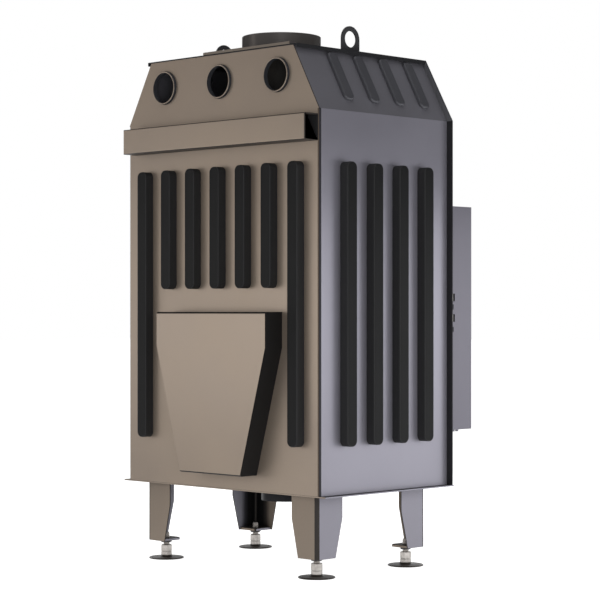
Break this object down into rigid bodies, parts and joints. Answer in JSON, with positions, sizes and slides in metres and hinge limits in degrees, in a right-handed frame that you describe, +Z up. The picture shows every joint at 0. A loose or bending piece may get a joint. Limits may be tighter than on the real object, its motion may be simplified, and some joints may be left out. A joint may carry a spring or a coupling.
{
  "type": "fireplace insert",
  "caption": "Upright wood-burning fireplace insert: ribbed steel casing with hot-air hood, glazed side-hung door, lined firebox and levelling legs.",
  "frame": {"origin": "on the floor, at the middle of the part's footprint", "axes": "+Z up, -Y towards the door, +X to the right as seen from in front of the door"},
  "size_m": [0.73, 0.651, 1.337],
  "materials": {
    "grey_coat": "satin stove enamel on folded steel sheet",
    "black_coat": "matte black stove paint on steel",
    "inner_steel": "matte high-temperature paint inside the casing",
    "cast_iron": "matte cast iron",
    "zinc": "zinc-plated steel",
    "bushing": "sintered bronze",
    "glass": "heat-proof glass ceramic",
    "rope": "woven glass-fibre rope",
    "lining": "pressed mineral lining board",
    "knob": "black moulded knob"
  },
  "bodies": {
    "casing": {"base_plate": "black_coat", "rear_panel": "grey_coat", "side_panel_left": "grey_coat", "side_panel_right": "grey_coat", "front_plate": "grey_coat", "hood_rear_panel": "grey_coat", "hood_side_left": "grey_coat", "hood_side_right": "grey_coat", "top_plate": "black_coat", "flue_collar": "black_coat", "flue_neck": "inner_steel", "lifting_eye_left": "black_coat", "lifting_eye_right": "black_coat", "hot_air_spigots": "grey_coat", "rear_beam": "grey_coat", "air_plenum": "grey_coat", "rear_ribs_long": "black_coat", "rear_ribs_short": "black_coat", "side_ribs_left": "black_coat", "side_ribs_right": "black_coat", "air_inlet_collar": "black_coat", "leg_rear_left": "grey_coat", "leg_rear_right": "grey_coat", "leg_front_left": "grey_coat", "leg_front_right": "grey_coat", "leg_fasteners": "zinc", "door_surround": "grey_coat", "latch_keeper": "zinc", "keeper_tongue": "zinc", "hinge_pins": "zinc", "firebox_shell": "inner_steel", "firebox_mouth": "inner_steel", "firebox_rails": "inner_steel", "back_lining": "lining", "side_lining_left": "lining", "side_lining_right": "lining", "hearth_slab": "lining", "grate": "cast_iron", "ash_pan": "inner_steel", "log_retainer": "cast_iron", "baffle_board": "lining", "baffle_plate": "inner_steel", "air_box": "inner_steel"},
    "door": {"door_frame": "black_coat", "door_glass": "glass", "door_seal": "rope", "glass_clips": "zinc", "door_bushes": "bushing"},
    "handle": {"handle_lever": "black_coat", "latch_cam": "zinc", "cam_spacer": "zinc"},
    "air_control": {"air_slider": "zinc", "air_rod": "zinc", "air_knob": "knob"},
    "foot_rear_left": {"stud_rear_left": "zinc", "pad_rear_left": "black_coat"},
    "foot_rear_right": {"stud_rear_right": "zinc", "pad_rear_right": "black_coat"},
    "foot_front_left": {"stud_front_left": "zinc", "pad_front_left": "black_coat"},
    "foot_front_right": {"stud_front_right": "zinc", "pad_front_right": "black_coat"}
  },
  "joints": [
    {"name": "door_hinge", "type": "hinge", "parent": "casing", "child": "door", "pos_m": [0.322, -0.2785, 0.6195], "axis": [0, 0, 1], "range_deg": [0, 100]},
    {"name": "handle_turn", "type": "hinge", "parent": "door", "child": "handle", "pos_m": [-0.313, -0.2875, 0.633], "axis": [0, 1, 0], "range_deg": [0, 90]},
    {"name": "air_control_slide", "type": "slide", "parent": "casing", "child": "air_control", "axis": [0, -1, 0], "range_m": [0, 0.06]},
    {"name": "foot_rear_left_level", "type": "slide", "parent": "casing", "child": "foot_rear_left", "axis": [0, 0, 1], "range_m": [-0.015, 0.005]},
    {"name": "foot_rear_right_level", "type": "slide", "parent": "casing", "child": "foot_rear_right", "axis": [0, 0, 1], "range_m": [-0.015, 0.005]},
    {"name": "foot_front_left_level", "type": "slide", "parent": "casing", "child": "foot_front_left", "axis": [0, 0, 1], "range_m": [-0.015, 0.005]},
    {"name": "foot_front_right_level", "type": "slide", "parent": "casing", "child": "foot_front_right", "axis": [0, 0, 1], "range_m": [-0.015, 0.005]}
  ]
}
